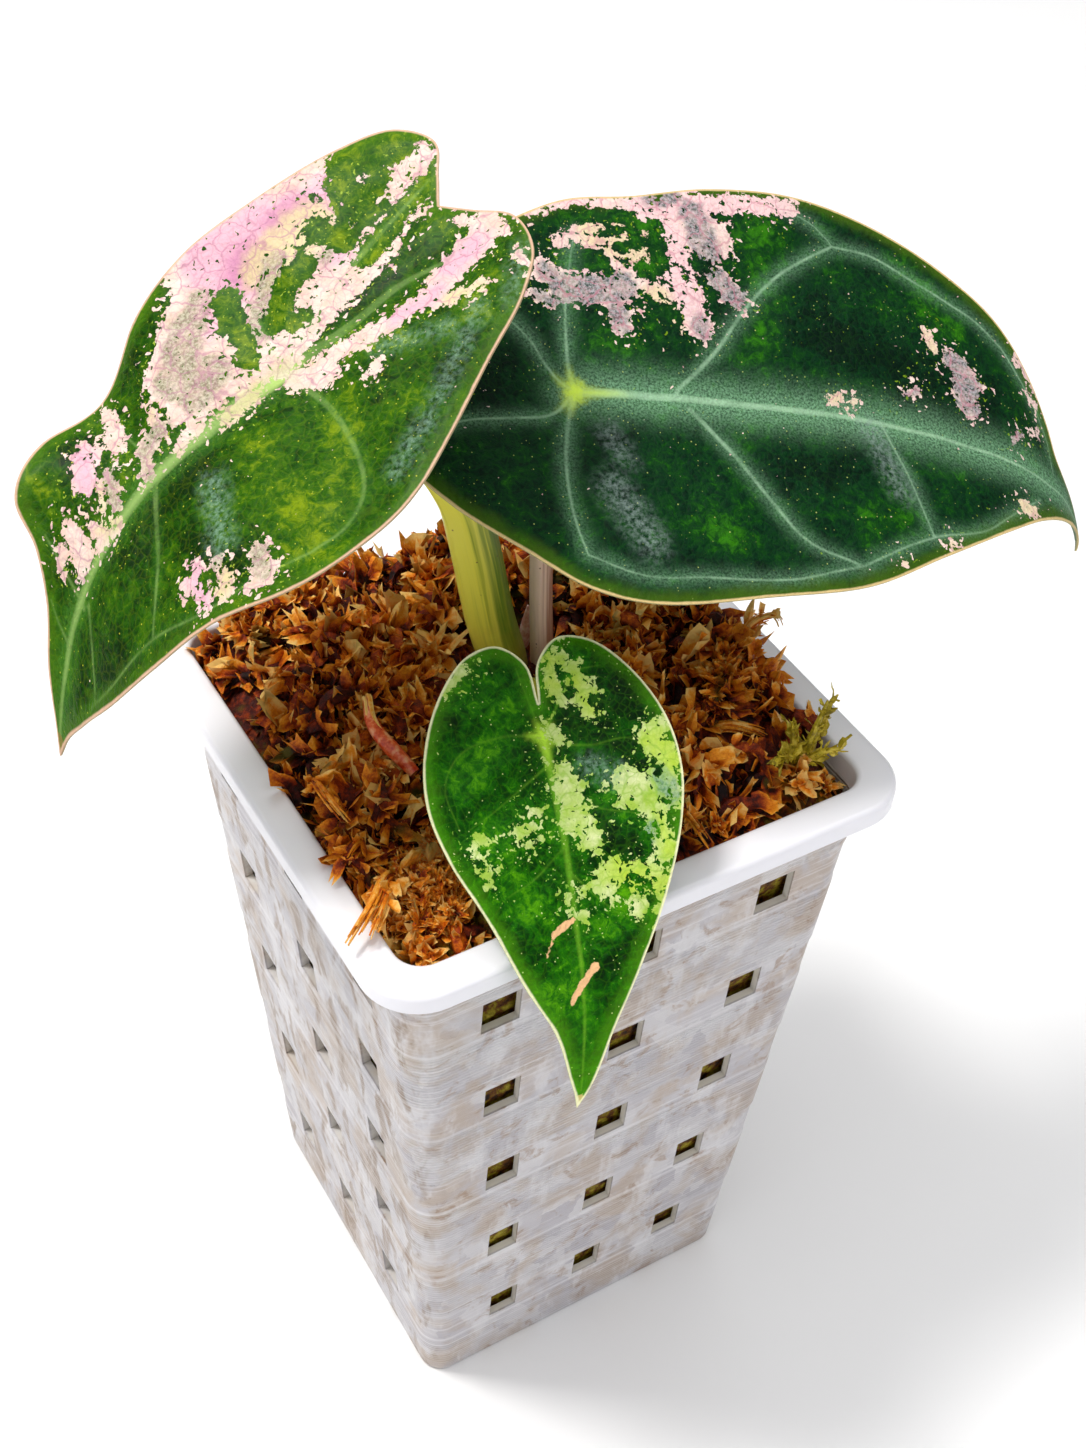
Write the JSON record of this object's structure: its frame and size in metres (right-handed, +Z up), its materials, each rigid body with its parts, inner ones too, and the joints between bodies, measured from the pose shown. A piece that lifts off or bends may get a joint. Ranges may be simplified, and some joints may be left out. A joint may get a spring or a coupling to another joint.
{
  "type": "potted amazon elephant ear",
  "caption": "Small variegated elephant ear with shield-shaped leaves on upright stalks, growing from sphagnum moss in a tall square net pot.",
  "frame": {"origin": "centre of the pot's underside", "axes": "+Z up; the pot's four walls face along X and Y"},
  "size_m": [0.12, 0.0831, 0.1675],
  "materials": {
    "net_pot": "smooth white moulded plastic, slightly translucent",
    "sphagnum_moss": "damp orange-brown strands of sphagnum moss",
    "green_moss": "soft yellow-green live moss",
    "corm": "brown fibrous corm and roots",
    "shoot": "pinkish-white soft shoot",
    "green_petiole": "satin pale yellow-green stalk with small brown specks",
    "pink_petiole": "satin pinkish-grey stalk",
    "left_blade": "glossy green leaf with pink and cream patches",
    "right_blade": "velvety dark green leaf with pale veins",
    "front_blade": "glossy bright green leaf with cream patches"
  },
  "bodies": {
    "root": {"net_pot": "net_pot", "sphagnum_moss": "sphagnum_moss", "green_moss_sprig": "green_moss", "corm_with_roots": "corm", "young_shoot": "shoot", "petiole_left_leaf": "green_petiole", "petiole_right_leaf": "pink_petiole", "petiole_front_leaf": "green_petiole", "blade_left_leaf": "left_blade", "blade_right_leaf": "right_blade", "blade_front_leaf": "front_blade"}
  },
  "joints": []
}
